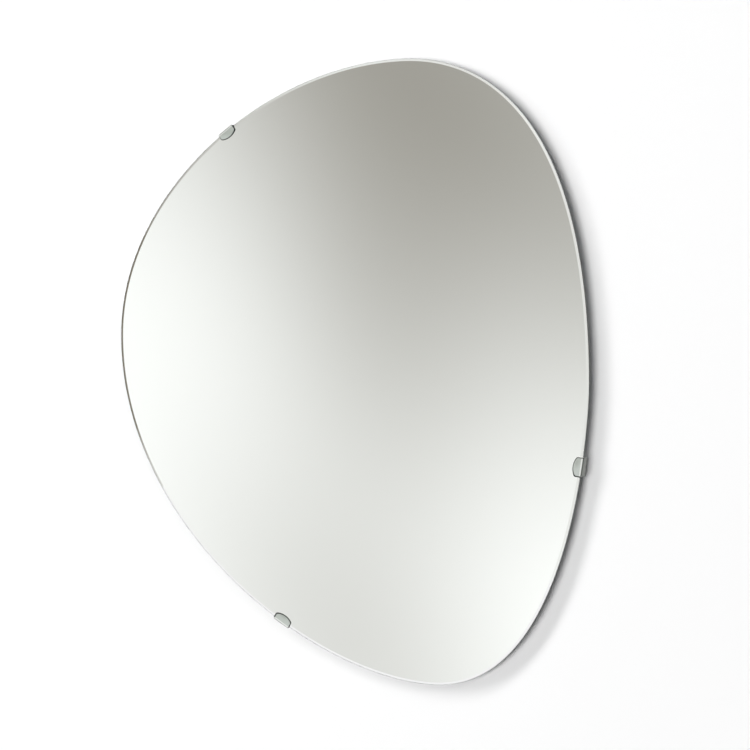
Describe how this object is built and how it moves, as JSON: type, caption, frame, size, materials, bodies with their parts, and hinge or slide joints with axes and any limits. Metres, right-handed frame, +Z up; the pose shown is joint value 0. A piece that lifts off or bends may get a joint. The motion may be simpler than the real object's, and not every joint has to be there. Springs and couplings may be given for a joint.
{
  "type": "irregular wall mirror",
  "caption": "Frameless pebble-shaped wall mirror: silvered glass held to a recessed board by slotted edge clips, hung on hooked rails.",
  "frame": {"origin": "on the wall, at the back face of the wall rail, in the middle of its screw line", "axes": "+Z up, the glass faces -Y, +X to the right as seen from the front; +Y points into the wall"},
  "size_m": [0.581, 0.0256, 0.718],
  "materials": {
    "silvered_glass": "silvered float glass, flat-polished rim",
    "satin_steel": "satin",
    "soft_rubber": "matt",
    "splinter_film": "matt woven-backed film",
    "black_board": "black painted fibreboard",
    "rail_aluminium": "mill finish extrusion",
    "zinc_steel": "zinc plated"
  },
  "bodies": {
    "wall": {"wall_rail": "rail_aluminium"},
    "mirror": {"mirror_glass": "silvered_glass", "safety_film": "splinter_film", "backing_board": "black_board", "board_rail": "rail_aluminium", "board_rail_screw_1": "zinc_steel", "board_rail_screw_2": "zinc_steel", "board_rail_screw_3": "zinc_steel", "board_rail_screw_4": "zinc_steel", "clip_washer_upper_1": "zinc_steel", "clip_screw_upper_1": "zinc_steel", "clip_washer_upper_2": "zinc_steel", "clip_screw_upper_2": "zinc_steel", "clip_washer_lower_1": "zinc_steel", "clip_screw_lower_1": "zinc_steel", "clip_washer_lower_2": "zinc_steel", "clip_screw_lower_2": "zinc_steel", "clip_washer_side_1": "zinc_steel", "clip_screw_side_1": "zinc_steel", "clip_washer_side_2": "zinc_steel", "clip_screw_side_2": "zinc_steel", "bumper_left": "soft_rubber", "bumper_right": "soft_rubber", "bumper_screw_left": "zinc_steel", "bumper_screw_right": "zinc_steel"},
    "upper_clip": {"clip_upper": "satin_steel", "clip_pad_upper": "soft_rubber"},
    "lower_clip": {"clip_lower": "satin_steel", "clip_pad_lower": "soft_rubber"},
    "side_clip": {"clip_side": "satin_steel", "clip_pad_side": "soft_rubber"}
  },
  "joints": [
    {"name": "lift_off", "type": "slide", "parent": "wall", "child": "mirror", "axis": [0, 0, 1], "range_m": [0, 0.012]},
    {"name": "upper_clip_release", "type": "slide", "parent": "mirror", "child": "upper_clip", "axis": [-0.5811, 0, 0.8138], "range_m": [0, 0.01]},
    {"name": "lower_clip_release", "type": "slide", "parent": "mirror", "child": "lower_clip", "axis": [-0.5329, 0, -0.8462], "range_m": [0, 0.01]},
    {"name": "side_clip_release", "type": "slide", "parent": "mirror", "child": "side_clip", "axis": [0.9884, 0, -0.152], "range_m": [0, 0.01]}
  ]
}
